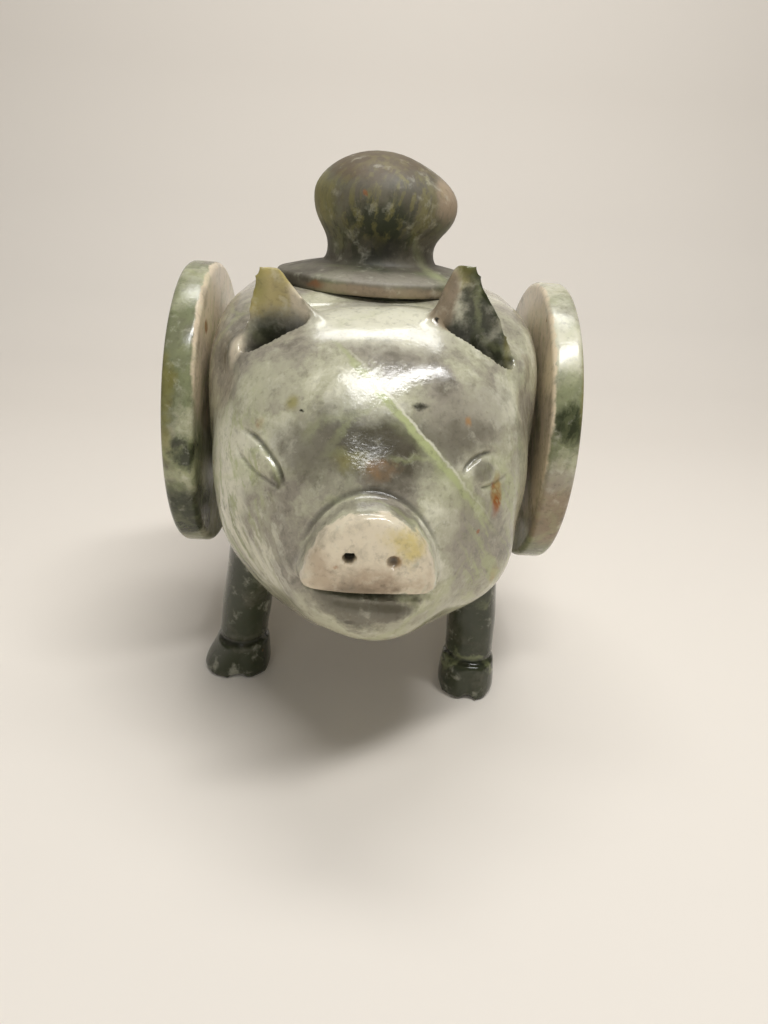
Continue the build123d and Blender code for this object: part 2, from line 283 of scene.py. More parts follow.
for v in shape.verts:
    ring = math.hypot(v.co.x / SNOUT_LINE_WIDTH, (v.co.z - SNOUT_FOOT_Z) / SNOUT_LINE_HEIGHT)
    gap = abs(ring - 1.0) * SNOUT_LINE_WIDTH / SNOUT_LINE_REACH
    if gap < 1.0 and v.co.z > SNOUT_FOOT_Z and SNOUT_LINE_FRONT_Y < v.co.y < SNOUT_LINE_BACK_Y:
        fade = smooth_step(SNOUT_LINE_LOW_Z, SNOUT_LINE_FULL_Z, v.co.z)
        v.co -= v.normal * SNOUT_LINE_DEPTH * fade * (1.0 - gap**2) ** 2
        # Painted shade in the line over the snout.
        v[painted_shade] = max(v[painted_shade], SNOUT_LINE_SHADE * fade * (1.0 - gap**2))
    if v.co.y < SNOUT_LINE_BACK_Y and v.co.z > SNOUT_FOOT_Z - SNOUT_CORNER_DROP:
        low = smooth_step(0.0, SNOUT_CORNER_RISE, SNOUT_FOOT_Z + SNOUT_CORNER_RISE - v.co.z)
        front = smooth_step(0.0, SNOUT_CORNER_RUN, SNOUT_LINE_BACK_Y - SNOUT_CORNER_RUN - v.co.y)
        outer = smooth_step(SNOUT_CORNER_INNER_X, SNOUT_CORNER_OUTER_X, abs(v.co.x))
        v.co.x += math.copysign(SNOUT_CORNER * low * front * outer, v.co.x)
for centre, radius, depth in NOSTRILS:
    mouth = in_metres(centre)
    polish(shape, near(shape, mouth, NOSTRIL_RUB * radius * MM), NOSTRIL_PASSES)
    for v in near(shape, mouth, NOSTRIL_SEARCH * radius * MM):
        across = math.hypot(v.co.x - mouth.x, v.co.z - mouth.z) / (radius * MM)
        if across < NOSTRIL_RIM:
            v.co.y = mouth.y + depth * MM * max(0.0, 1.0 - across**4)
            # Painted shade: the deeper the drilling, the darker the nostril.
            v[painted_shade] = max(v[painted_shade], depth * max(0.0, 1.0 - across**2))

# The carver's uneven hand
EAR_BACK_Y = -14.0 * MM
EAR_FOOT_Z = 63.0 * MM
EAR_TIP_Z = 74.0 * MM
EAR_LEAN = -2.0 * MM
EAR_LIFT_LEFT = 1.2 * MM
EAR_LIFT_RIGHT = -0.8 * MM
EAR_LIFT_BLEND_X = 9.0 * MM
FRONT_FEET_BACK_Y = 4.0 * MM
FOOT_SOLE_Z = 2.0 * MM
FOOT_TOP_Z = 22.0 * MM
# How far each front foot is set aside in millimetres, by the sign of its side
FOOT_STEPS = {1: (-0.9, -2.4, 0.0), -1: (-0.6, 1.2, 0.0)}
TOE_SPLAY = 2.0 * MM
TOE_INNER_X = 20.5 * MM
TOE_OUTER_X = 26.0 * MM
HOOF_TOP_Z = 7.2 * MM
HOOF_CREASE_REACH = 0.8 * MM
HOOF_CREASE_DEPTH = 0.45 * MM
# How much painted shade darkens the crease above the hooves
HOOF_CREASE_SHADE = 0.7
UNEVENNESS = 0.22 * MM
UNEVENNESS_SPAN = 9.0 * MM
# The soles and the flanks beside the discs stay true
TRUE_SOLE_Z = 3.0 * MM
WORKED_Z = 8.0 * MM
TRUE_FLANK_X = 25.5 * MM
FLANK_FADE = 3.0 * MM
shape.normal_update()
for v in shape.verts:
    side = 1 if v.co.x > 0.0 else -1
    crease = abs(v.co.z - HOOF_TOP_Z) / HOOF_CREASE_REACH
    if crease < 1.0:
        v.co -= v.normal * HOOF_CREASE_DEPTH * (1.0 - crease**2) ** 2
        # Painted shade in the crease above the hooves.
        v[painted_shade] = max(v[painted_shade], HOOF_CREASE_SHADE * (1.0 - crease**2))
    if v.co.y < EAR_BACK_Y:
        rise = smooth_step(EAR_FOOT_Z, EAR_TIP_Z, v.co.z)
        leftward = smooth_step(-EAR_LIFT_BLEND_X, EAR_LIFT_BLEND_X, v.co.x)
        lift = EAR_LIFT_RIGHT + (EAR_LIFT_LEFT - EAR_LIFT_RIGHT) * leftward
        v.co += Vector((EAR_LEAN, 0.0, lift)) * rise
    if v.co.y < FRONT_FEET_BACK_Y:
        v.co += in_metres(FOOT_STEPS[side]) * (1.0 - smooth_step(FOOT_SOLE_Z, FOOT_TOP_Z, v.co.z))
        low = 1.0 - smooth_step(0.0, HOOF_TOP_Z, v.co.z)
        v.co.x -= TOE_SPLAY * low * smooth_step(TOE_INNER_X, TOE_OUTER_X, -v.co.x)
    worked = smooth_step(TRUE_SOLE_Z, WORKED_Z, v.co.z)
    worked *= smooth_step(0.0, FLANK_FADE, TRUE_FLANK_X - abs(v.co.x))
    v.co += v.normal * UNEVENNESS * worked * noise.noise(v.co / UNEVENNESS_SPAN)
shape.to_mesh(pig.data)
shape.free()

# The well and the flat for the lid, bored clean again, and the hole for the axle
# The well's profile is in millimetres
SEAT_Z = 68.7
SEAT_TOP_Z = 80.0
SEAT_RADIUS = 17.8
WELL_RADIUS = 12.5
WELL_FLOOR_Z = 50.7
WELL_CORNER = 3.0
WELL_CORNER_STEPS = 4
WELL_STEPS = 128
BORE_RADIUS = 2.55 * MM
BORE_LENGTH = 64.0 * MM
BORE_SEGMENTS = 64
PIG_SHARP_ANGLE = math.radians(50.0)
axle_low, axle_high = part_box("axle")
axle_middle = (axle_low + axle_high) / 2
well = [(0.0, SEAT_TOP_Z), (SEAT_RADIUS, SEAT_TOP_Z), (SEAT_RADIUS, SEAT_Z), (WELL_RADIUS, SEAT_Z)]
for step in range(WELL_CORNER_STEPS + 1):
    angle = step * math.pi / (2 * WELL_CORNER_STEPS)
    reach = WELL_RADIUS - WELL_CORNER + WELL_CORNER * math.cos(angle)
    well.append((reach, WELL_FLOOR_Z + WELL_CORNER * (1.0 - math.sin(angle))))
cutter = spun(well + [(0.0, WELL_FLOOR_Z)], axle_middle.y, WELL_STEPS)
place = Matrix.Translation(axle_middle) @ Matrix.Rotation(math.pi / 2, 4, "Y")
bmesh.ops.create_cone(
    cutter, cap_ends=True, segments=BORE_SEGMENTS, radius1=BORE_RADIUS, radius2=BORE_RADIUS,
    depth=BORE_LENGTH, matrix=place,
)
mesh = bpy.data.meshes.new("borer")
cutter.to_mesh(mesh)
cutter.free()
borer = as_object("borer", mesh)
boring = pig.modifiers.new("boring", "BOOLEAN")
boring.operation = "DIFFERENCE"
boring.solver = "EXACT"
boring.object = borer
settle(pig)
bpy.data.objects.remove(borer)
pig.data.shade_smooth()
pig.data.set_sharp_from_angle(angle=PIG_SHARP_ANGLE)

# The colours of the stone
PALE = (0.49, 0.475, 0.335)
MIST = (0.76, 0.735, 0.58)
LAVENDER = (0.31, 0.28, 0.22)
SLATE = (0.135, 0.120, 0.086)
DUSK = (0.045, 0.037, 0.020)
SAGE = (0.20, 0.215, 0.115)
FERN = (0.42, 0.45, 0.22)
STRAW = (0.46, 0.38, 0.15)
OLIVE = (0.28, 0.25, 0.075)
MOSS = (0.020, 0.026, 0.009)
# Black: the black specks in the stone, and the painted shade in the carved lines, the ear hollows, the
# nostrils and at the knob's foot.
BLACK = (0.008, 0.008, 0.005)
CREAM = (0.72, 0.63, 0.47)
HONEY = (0.60, 0.48, 0.16)
SHELL = (0.78, 0.65, 0.47)
ROSE = (0.40, 0.30, 0.20)
BARK = (0.12, 0.086, 0.046)
RUST = (0.28, 0.095, 0.022)
AMBER = (0.40, 0.20, 0.06)
# The marks in the stone: a drift is (size, reach), an edge is (start, full) or (start, full, strength)
WANDER = (170.0, 8.0 * MM)
SHIVER = (420.0, 1.6 * MM)
CLOUD_SIZE = 75.0
CLOUD_LOW = 0.33
CLOUD_SPAN = 0.34
FINE_STAIN = 2.0
FIBRE_REACH = (18.0 * MM, 1.5 * MM, 1.5 * MM)
FIBRE_EDGE = (0.47, 0.60)
FIBRE_PATCH_EDGE = (1.0, 0.4)
FLECK_SIZE = 170.0
FLECK_EDGE = (0.085, 0.035, 0.75)
FLECK_CHOICE = (0.66, 0.68)
SEAM_SIZE = 55.0
SEAM_EDGE = (0.05, 0.0)
SEAM_PATCH_SIZE = 60.0
SEAM_PATCH_EDGE = (0.45, 0.60)
# How the painted shade in the carved hollows darkens the colour towards black
SHADE_EDGE = (0.12, 1.0, 0.85)
WEAR_SIZE = 260.0
SCRATCH_SIZE = 1900.0
RIPPLE_SIZE = 340.0


def polished_stone(name, clouds, fibres, stains, gloss, seamed):
    """Mottled stone with a hand polish.
    Clouds are the colours of its ground, from dark to pale, gloss is its least and greatest roughness,
    and seamed is the strength of its fine pale seams.
    Each patch of fibres is (colour, strength, way the fibres run, middle, radii), in millimetres.
    Each stain is (colour, strength, core, middle, radii, facing), an ellipsoid whose first radius
    points along facing, so a thin one is a vein. Without a facing, the radii are along X, Y and Z."""
    material = bpy.data.materials.new(name)
    material.use_nodes = True
    tree = material.node_tree
    shader = tree.nodes["Principled BSDF"]

    def add(kind, inputs=(), **settings):
        node = tree.nodes.new(kind)
        for key, value in settings.items():
            setattr(node, key, value)
        for key, value in dict(inputs).items():
            if isinstance(value, bpy.types.NodeSocket):
                tree.links.new(value, node.inputs[key])
            else:
                node.inputs[key].default_value = value
        return node

    def blend(share, below, above):
        node = add("ShaderNodeMix", {0: share, 6: below, 7: (*above, 1.0)}, data_type="RGBA")
        return node.outputs[2]

    def rise(value, start, full, strength=1.0):
        ranges = {"Value": value, "From Min": start, "From Max": full, "To Min": 0.0, "To Max": strength}
        return add("ShaderNodeMapRange", ranges, interpolation_type="SMOOTHSTEP").outputs["Result"]

    def product(first, second):
        return add("ShaderNodeMath", {0: first, 1: second}, operation="MULTIPLY").outputs["Value"]

    def cloud(vector, size, detail):
        inputs = {"Vector": vector, "Scale": size, "Detail": detail, "Roughness": 0.62}
        return add("ShaderNodeTexNoise", inputs)

    def shifted(vector, size, amount):
        drift = cloud(vector, size, 5.0).outputs["Color"]
        drift = add("ShaderNodeVectorMath", {0: drift, 1: (0.5, 0.5, 0.5)}, operation="SUBTRACT")
        drift = add("ShaderNodeVectorMath", {0: drift.outputs["Vector"], "Scale": amount}, operation="SCALE")
        moved = add("ShaderNodeVectorMath", {0: vector, 1: drift.outputs["Vector"]}, operation="ADD")
        return moved.outputs["Vector"]

    def distance(vector, middle, radii, turn):
        lump = {"Vector": vector, "Location": in_metres(middle), "Rotation": turn, "Scale": in_metres(radii)}
        lump = add("ShaderNodeMapping", lump, vector_type="TEXTURE").outputs["Vector"]
        return add("ShaderNodeVectorMath", {0: lump}, operation="LENGTH").outputs["Value"]

    place = add("ShaderNodeTexCoord").outputs["Object"]
    wander = shifted(place, *WANDER)
    shiver = shifted(place, *SHIVER)

    ramp = add("ShaderNodeValToRGB", {"Fac": cloud(wander, CLOUD_SIZE, 7.0).outputs["Fac"]})
    for index, tint in enumerate(clouds):
        stop = ramp.color_ramp.elements.new(CLOUD_LOW + CLOUD_SPAN * index / (len(clouds) - 1))
        stop.color = (*tint, 1.0)
    ramp.color_ramp.elements.remove(ramp.color_ramp.elements[0])
    ramp.color_ramp.elements.remove(ramp.color_ramp.elements[-1])
    colour = ramp.outputs["Color"]

    for tint, strength, core, middle, radii, facing in stains:
        ground = wander if min(radii) > FINE_STAIN else shiver
        turn = Vector(facing).to_track_quat("X", "Z").to_euler() if facing else (0.0, 0.0, 0.0)
        colour = blend(rise(distance(ground, middle, radii, turn), 1.0, core, strength), colour, tint)
    for tint, strength, way, middle, radii in fibres:
        turn = Vector(way).to_track_quat("X", "Z").to_euler()
        grain = {"Vector": shiver, "Rotation": turn, "Scale": FIBRE_REACH}
        grain = add("ShaderNodeMapping", grain, vector_type="TEXTURE").outputs["Vector"]
        streak = rise(cloud(grain, 1.0, 5.0).outputs["Fac"], *FIBRE_EDGE, strength)
        patch = rise(distance(wander, middle, radii, (0.0, 0.0, 0.0)), *FIBRE_PATCH_EDGE)
        colour = blend(product(streak, patch), colour, tint)

    flecks = add("ShaderNodeTexVoronoi", {"Vector": shiver, "Scale": FLECK_SIZE, "Randomness": 1.0})
    speck = rise(flecks.outputs["Distance"], *FLECK_EDGE)
    colour = blend(product(speck, rise(flecks.outputs["Color"], *FLECK_CHOICE)), colour, RUST)
    mottles = (
        (shiver, 210.0, 6.0, (0.50, 0.70, 0.42), SLATE),
        (place, 1000.0, 4.0, (0.50, 0.74, 0.28), DUSK),
        (shiver, 380.0, 5.0, (0.54, 0.74, 0.30), MIST),
    )
    for ground, size, detail, edge, tint in mottles:
        colour = blend(rise(cloud(ground, size, detail).outputs["Fac"], *edge), colour, tint)
    seams = add("ShaderNodeTexVoronoi", {"Vector": wander, "Scale": SEAM_SIZE}, feature="DISTANCE_TO_EDGE")
    seam = rise(seams.outputs["Distance"], *SEAM_EDGE, seamed)
    patch = rise(cloud(place, SEAM_PATCH_SIZE, 2.0).outputs["Fac"], *SEAM_PATCH_EDGE)
    colour = blend(product(seam, patch), colour, FERN)
    # Painted shade: the carved lines, the ear hollows, the nostrils and the crease of the feet are darkened
    # towards black.
    shade_share = add("ShaderNodeAttribute", attribute_name="painted_shade").outputs["Fac"]
    colour = blend(rise(shade_share, *SHADE_EDGE), colour, BLACK)
    tree.links.new(colour, shader.inputs["Base Color"])

    wear = cloud(place, WEAR_SIZE, 5.0).outputs["Fac"]
    wear = {"Value": wear, "From Min": 0.3, "From Max": 0.7, "To Min": gloss[0], "To Max": gloss[1]}
    tree.links.new(add("ShaderNodeMapRange", wear).outputs["Result"], shader.inputs["Roughness"])
    scratch = cloud(place, SCRATCH_SIZE, 3.0).outputs["Fac"]
    bump = add("ShaderNodeBump", {"Height": scratch, "Strength": 0.20, "Distance": 0.08 * MM})
    ripple = {"Height": cloud(place, RIPPLE_SIZE, 3.0).outputs["Fac"], "Normal": bump.outputs["Normal"]}
    ripple = add("ShaderNodeBump", {**ripple, "Strength": 0.35, "Distance": 0.14 * MM})
    tree.links.new(ripple.outputs["Normal"], shader.inputs["Normal"])
    shader.inputs["IOR"].default_value = 1.52
    shader.inputs["Subsurface Weight"].default_value = 0.12
    shader.inputs["Subsurface Radius"].default_value = (1.0, 1.0, 0.7)
    shader.inputs["Subsurface Scale"].default_value = 1.2 * MM
    return material


VEIN_FACING = (0.724, 0.194, 0.662)
pig_stains = [
    (MIST, 0.85, 0.4, (0, -21, 67), (17, 11, 6), None),
    (MIST, 0.90, 0.4, (-23, -27, 44), (9, 13, 14), None),
    (PALE, 0.75, 0.3, (23, -25, 45), (8, 13, 13), None),
    (MIST, 0.60, 0.3, (17, -27, 57), (6, 7, 4), None),
    (PALE, 0.75, 0.3, (-15, -29, 58), (7, 6, 5), None),
    (PALE, 0.85, 0.4, (-8, -38, 28), (13, 9, 7), None),
    (PALE, 0.70, 0.4, (9, -37, 28), (13, 9, 7), None),
    (LAVENDER, 0.85, 0.3, (12, -31, 55), (10, 9, 7), None),
    # The dark forehead between the eyes: partly the stone's dark lavender, partly painted shade of the
    # hollow under the brow.
    (DUSK, 0.92, 0.30, (0, -37.5, 53), (15, 10, 8), None),
    (SLATE, 0.75, 0.2, (-9, -36, 52), (7, 7, 6), None),
    (SLATE, 0.70, 0.2, (12, -34, 54), (6, 6, 4), None),
    (LAVENDER, 0.75, 0.2, (14, -37, 41), (9, 8, 9), None),
    (OLIVE, 0.50, 0.1, (-3, -39.2, 51), (4.2, 3, 2.6), None),
    (AMBER, 0.40, 0.1, (0.8, -39.6, 50.2), (2.2, 3, 2.4), None),
    (FERN, 0.30, 0.1, (9, -34, 49), (2.6, 15, 18), VEIN_FACING),
    (FERN, 0.95, 0.4, (5.4, -32.1, 53.3), (0.85, 15, 23), VEIN_FACING),
    (MIST, 0.70, 0.2, (5.9, -32.3, 53.8), (0.35, 15, 21), VEIN_FACING),
    # Painted shade: the grey eyeball of the left eye (+X) and the dark lower half of the right eye (-X).
    (SLATE, 0.75, 0.5, (15.0, -34, 49.1), (2.6, 3, 2.0), None),
    (DUSK, 0.70, 0.2, (-12.9, -37, 47.4), (1.7, 2.4, 2.0), None),
    (MIST, 0.70, 0.2, (-17.6, -31.5, 50.2), (1.8, 2.4, 2.0), None),
    (RUST, 1.00, 0.5, (17.5, -32.7, 45.2), (1.2, 2.6, 4.0), None),
    (AMBER, 0.85, 0.2, (12.4, -32.4, 55.4), (0.9, 1.2, 1.2), None),
    (AMBER, 0.85, 0.2, (17.8, -31.6, 32.8), (2.2, 2.4, 2.6), None),
    (OLIVE, 0.75, 0.2, (-11.2, -32.2, 56.5), (1.4, 1.6, 1.8), None),
    (AMBER, 0.55, 0.2, (-15.6, -31.4, 53.4), (1.2, 1.6, 1.4), None),
    (BLACK, 0.95, 0.6, (-9.9, -33.0, 56.0), (0.42, 0.9, 0.42), None),
    (BLACK, 0.90, 0.4, (5.8, -33.0, 57.4), (1.6, 1.2, 0.65), None),
    (BLACK, 0.90, 0.5, (-2.0, -42.0, 29.2), (1.2, 1.4, 0.6), None),
    (SLATE, 0.90, 0.6, (0, -43.4, 37), (11.5, 2.4, 12.5), None),
    (CREAM, 0.97, 0.9, (0, -50.4, 41), (40, 5.4, 40), None),
    (HONEY, 0.80, 0.2, (4.6, -47, 43.2), (3.6, 2.6, 2.6), None),
    # Pink and dark at the snout's lower edge: partly the stone's pink, partly painted shade that darkens the
    # snout face towards the bottom.
    (ROSE, 0.90, 0.2, (0, -47.2, 37.0), (11.0, 2.6, 4.6), None),
    (BARK, 0.65, 0.2, (0.5, -47.2, 36.2), (8.0, 2.6, 2.8), None),
    # Painted shade along the mouth, under the snout's overhang.
    (MOSS, 0.80, 0.3, (-1.0, -42.6, 33.9), (8.0, 2.4, 1.3), None),
    (ROSE, 0.65, 0.2, (-6.5, -47, 39.4), (3.6, 2.6, 3.6), None),
    (ROSE, 0.65, 0.2, (6.8, -47, 38.8), (3.6, 2.6, 3.6), None),
    (RUST, 0.45, 0.3, (3.2, -46.5, 40.9), (1.4, 2.4, 1.4), None),
    (STRAW, 0.92, 0.5, (-16.5, -20.5, 71.0), (6.5, 4.0, 7.0), None),
    (CREAM, 0.80, 0.4, (-11.8, -21.6, 68.0), (2.8, 2.0, 6.0), None),
    (CREAM, 0.80, 0.5, (-20.8, -20.8, 63.5), (2.6, 2.0, 6.5), None),
    (OLIVE, 0.80, 0.2, (-17.6, -20.6, 70.0), (2.0, 2.6, 5.0), None),
    # The hollow of the right ear (-X): partly dark green stone, partly painted shade.
    (MOSS, 0.96, 0.4, (-15.6, -19.9, 63.6), (4.6, 2.0, 4.6), None),
    # The left ear (+X): its pale face darkened with rose and bark, its hollow, foot and tip with moss:
    # partly the stone's colours, partly painted shade.
    (ROSE, 0.85, 0.5, (9.6, -21.6, 69.8), (3.6, 2.0, 7.0), None),
    (BARK, 0.45, 0.5, (9.6, -21.6, 69.8), (3.8, 2.0, 7.2), None),
    (OLIVE, 0.90, 0.5, (13.4, -20.5, 74.5), (4.4, 3.0, 5.0), None),
    (MOSS, 0.96, 0.5, (14.4, -19.8, 68.6), (4.0, 3.0, 9.0), None),
    (MOSS, 0.90, 0.4, (18.6, -19.8, 63.2), (2.6, 3.0, 5.0), None),
    (MOSS, 0.60, 0.4, (13.0, -20.5, 75.0), (4.0, 3.0, 3.4), None),
    (MOSS, 0.80, 0.3, (11.4, -20.4, 65.6), (5.0, 2.0, 1.8), None),
    (OLIVE, 0.50, 0.4, (19.2, -20.8, 66.0), (1.1, 2.6, 9.0), None),
    (BLACK, 0.95, 0.6, (10.6, -22.6, 72.3), (0.45, 1.4, 0.55), None),
    (BLACK, 0.95, 0.6, (8.2, -22.6, 67.6), (0.38, 1.2, 0.38), None),
]
# Dark green legs: partly the stone's colour, partly painted shade of the body over them, darkest at the
# feet.
for side in (1, -1):
    pig_stains += [
        (MOSS, 0.97, 0.75, (side * 21.0, -11.0, 7.0), (11.0, 13.0, 24.0), None),
        (MOSS, 0.85, 0.6, (side * 21.0, 32.0, 8.0), (11.0, 13.0, 21.0), None),
    ]
pig_fibres = (
    (MOSS, 0.90, (0.45, -0.2, -0.9), (-21, -29, 33), (9, 12, 14)),
    (FERN, 0.65, (0.45, -0.2, -0.9), (-19, -30, 42), (10, 12, 18)),
    (MIST, 0.60, (0.6, -0.2, -0.8), (-14, -34, 36), (10, 10, 12)),
    (FERN, 0.55, (0.5, 0.3, -0.8), (16, -30, 38), (14, 12, 16)),
    (FERN, 0.50, (0.9, 0.4, 0.2), (0, 20, 45), (40, 34, 40)),
    (MOSS, 0.45, (0.8, 0.5, 0.4), (0, 24, 42), (40, 32, 36)),
)
pig.data.materials.append(
    polished_stone("pig_stone", (SLATE, LAVENDER, PALE, MIST), pig_fibres, pig_stains, (0.10, 0.19), 0.30)
)
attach(pig, "figure")
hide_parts("body")

# The axle: a plain brass rod that runs through the trunk from disc to disc.
# It turns in its bore, and both ends are glued into the discs.
BRASS = (0.52, 0.36, 0.13)
TARNISH = (0.23, 0.15, 0.06)
TARNISH_SIZE = 900.0
brass = bpy.data.materials.new("axle_brass")
brass.use_nodes = True
brass_shader = brass.node_tree.nodes["Principled BSDF"]
brass_place = brass.node_tree.nodes.new("ShaderNodeTexCoord")
turning = brass.node_tree.nodes.new("ShaderNodeTexNoise")
turning.inputs["Scale"].default_value = TARNISH_SIZE
turning.inputs["Detail"].default_value = 4.0
tarnish = brass.node_tree.nodes.new("ShaderNodeValToRGB")
tarnish.color_ramp.elements[0].color = (*TARNISH, 1.0)
tarnish.color_ramp.elements[1].color = (*BRASS, 1.0)
brass.node_tree.links.new(brass_place.outputs["Object"], turning.inputs["Vector"])
brass.node_tree.links.new(turning.outputs["Fac"], tarnish.inputs["Fac"])
brass.node_tree.links.new(tarnish.outputs["Color"], brass_shader.inputs["Base Color"])
brass_shader.inputs["Metallic"].default_value = 1.0
brass_shader.inputs["Roughness"].default_value = 0.35
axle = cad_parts["axle"]
axle.data.materials.clear()
axle.data.materials.append(brass)

# The discs: thick rounds sawn from the same stone, one at each flank, with softened rims.
# Both are glued to the axle and turn with it.
DISC_SEGMENTS = 160
DISC_RIM_ROUND = 1.1 * MM
DISC_INSET_SHARE = 0.3
DISC_RIM_SHARE = 0.8
CORNER_ANGLE = 1.0
DISC_WAVER = 0.22 * MM
DISC_WAVER_SPAN = 14.0 * MM
DISC_WAVER_SINK = 0.6
disc_stains = {
    "left_disc": [
        (MIST, 0.80, 0.4, (30, -11, 65), (6, 12, 9), None),
        (SAGE, 0.85, 0.3, (30, -18, 56), (6, 6, 5), None),
        (MOSS, 0.90, 0.3, (30.5, -19.5, 52), (4.2, 6, 3.6), None),
        (ROSE, 0.85, 0.4, (30, -17, 37), (6, 9, 12), None),
        (BARK, 0.35, 0.4, (30, -17, 37), (6, 9, 12), None),
        (LAVENDER, 0.60, 0.3, (30, -20, 44), (6, 6, 4), None),
        # Pale pink on the disc's inner face: partly the stone's pink, partly painted light where the body
        # shades the face.
        (SHELL, 0.96, 0.8, (27.0, 0, 52), (1.8, 27, 27), None),
        (OLIVE, 0.80, 0.3, (33.0, -16, 57), (1.4, 10, 12), None),
    ],
    "right_disc": [
        (SAGE, 0.60, 0.4, (-30, -9, 66), (6, 13, 8), None),
        (SAGE, 0.80, 0.3, (-30, -17, 57), (6, 8, 8), None),
        (OLIVE, 0.85, 0.4, (-32.5, -18, 51), (2.6, 9, 11), None),
        (MOSS, 0.40, 0.4, (-31.5, -18, 51), (3.0, 9, 9), None),
        (MOSS, 0.95, 0.5, (-29.2, -20, 44.2), (3.4, 7, 3.2), None),
        (MOSS, 0.96, 0.6, (-30, -15, 32.5), (6.5, 11, 7.4), None),
        (PALE, 0.45, 0.2, (-31.2, -19, 40.6), (3.0, 6, 1.6), None),
        # Pale pink on the disc's inner face: partly the stone's pink, partly painted light where the body
        # shades the face.
        (SHELL, 0.95, 0.8, (-27.0, 0, 60), (1.8, 25, 19), None),
        (RUST, 0.95, 0.4, (-27.7, -7.2, 61.9), (1.2, 1.8, 1.4), None),
    ],
}
for name, stains in disc_stains.items():
    low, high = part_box(name)
    middle = (low + high) / 2
    thickness = high.x - low.x
    radius = (high.z - low.z) / 2
    shape = bmesh.new()
    rim = bmesh.ops.create_circle(shape, cap_ends=True, segments=DISC_SEGMENTS, radius=radius)["verts"]
    bmesh.ops.rotate(shape, verts=rim, matrix=Matrix.Rotation(math.pi / 2, 3, "Y"))
    bmesh.ops.translate(shape, verts=rim, vec=(-thickness / 2, 0.0, 0.0))
    pulled = bmesh.ops.extrude_face_region(shape, geom=list(shape.faces))["geom"]
    moved = [g for g in pulled if isinstance(g, bmesh.types.BMVert)]
    bmesh.ops.translate(shape, verts=moved, vec=(thickness, 0.0, 0.0))
    bmesh.ops.recalc_face_normals(shape, faces=shape.faces)
    rims = [e for e in shape.edges if len(e.link_faces) == 2 and e.calc_face_angle() > CORNER_ANGLE]
    bmesh.ops.bevel(
        shape, geom=rims, offset=DISC_RIM_ROUND, segments=5, profile=0.5, affect="EDGES", material=-1
    )
    for face in [f for f in shape.faces if len(f.verts) > 4]:
        bmesh.ops.inset_region(shape, faces=[face], thickness=radius * DISC_INSET_SHARE)
        bmesh.ops.poke(shape, faces=[face])
    bmesh.ops.translate(shape, verts=shape.verts, vec=middle)
    for v in shape.verts:
        outward = v.co - middle
        outward.x = 0.0
        if outward.length > radius * DISC_RIM_SHARE:
            waver = noise.noise(v.co / DISC_WAVER_SPAN) - DISC_WAVER_SINK
            v.co += outward.normalized() * DISC_WAVER * waver
    mesh = bpy.data.meshes.new(name + "_stone")
    shape.to_mesh(mesh)
    shape.free()
    mesh.shade_smooth()
    disc = as_object(name + "_stone", mesh)
    side = 1 if middle.x > 0.0 else -1
    disc_fibres = (
        (FERN, 0.60, (0.3, 0.6, 0.8), (side * 30, 5, 46), (9, 30, 30)),
        (MOSS, 0.50, (0.2, 0.7, -0.6), (side * 30, 12, 40), (9, 24, 24)),
    )
    mesh.materials.append(
        polished_stone(name + "_stone", (SLATE, SAGE, PALE, MIST), disc_fibres, stains, (0.14, 0.26), 0.25)
    )
    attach(disc, "disc_pair")
    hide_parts(name)

# The lid: plate, knob and spigot turned from one piece of the stone.
# The plate rests on the flat of the back, and the spigot keeps it over the well.
# Its profile is in millimetres, from the spigot's foot to the top of the knob.
LID_STEPS = 160
LID_EDGE_ROUND = 0.5 * MM
SPIGOT_RADIUS = 12.2
PLATE_RADIUS = 17.5
PLATE_RIM_Z = 70.9
PLATE_SHOULDER = (13.5, 71.9)
KNOB_POINTS = 14
KNOB_FOOT = ((9.9, 72.6), (9.2, 72.9), (8.8, 74.4), (9.2, 76.0))
KNOB_FLARE = ((9.2, 76.0), (9.7, 78.0), (11.9, 79.6), (11.7, 83.2))
KNOB_DOME = ((11.7, 83.2), (11.5, 86.4), (6.4, 89.9), (0.0, 89.9))
KNOB_FOOT_Z = 73.5 * MM
KNOB_SHOULDER_Z = 83.0 * MM
KNOB_CORNER = 0.9 * MM
KNOB_CORNER_INNER_X = 2.0 * MM
KNOB_CORNER_OUTER_X = 11.0 * MM
KNOB_WAVER = 0.5 * MM
KNOB_WAVER_SPAN = 13.0 * MM
LID_SHARP_ANGLE = math.radians(60.0)
spigot_foot_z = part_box("lid")[0].z / MM
profile = [(0.0, spigot_foot_z), (SPIGOT_RADIUS, spigot_foot_z), (SPIGOT_RADIUS, SEAT_Z)]
profile += [(PLATE_RADIUS, SEAT_Z), (PLATE_RADIUS, PLATE_RIM_Z), PLATE_SHOULDER]
for run in (KNOB_FOOT, KNOB_FLARE, KNOB_DOME):
    points = interpolate_bezier(*[Vector((r, 0.0, z)) for r, z in run], KNOB_POINTS)
    profile += [(p.x, p.z) for p in points[(0 if run is KNOB_FOOT else 1):]]
shape = spun(profile, axle_middle.y, LID_STEPS)
corners = [e for e in shape.edges if e.is_convex and e.calc_face_angle() > CORNER_ANGLE]
bmesh.ops.bevel(
    shape, geom=corners, offset=LID_EDGE_ROUND, segments=3, profile=0.5, affect="EDGES", material=-1
)
shape.normal_update()
for v in shape.verts:
    height = smooth_step(KNOB_FOOT_Z, KNOB_SHOULDER_Z, v.co.z)
    leftward = smooth_step(KNOB_CORNER_INNER_X, KNOB_CORNER_OUTER_X, v.co.x)
    v.co += v.normal * KNOB_WAVER * height * noise.noise(v.co / KNOB_WAVER_SPAN)
    v.co += Vector((KNOB_CORNER, 0.0, -KNOB_CORNER)) * leftward * height
mesh = bpy.data.meshes.new("lid_stone")
shape.to_mesh(mesh)
shape.free()
mesh.shade_smooth()
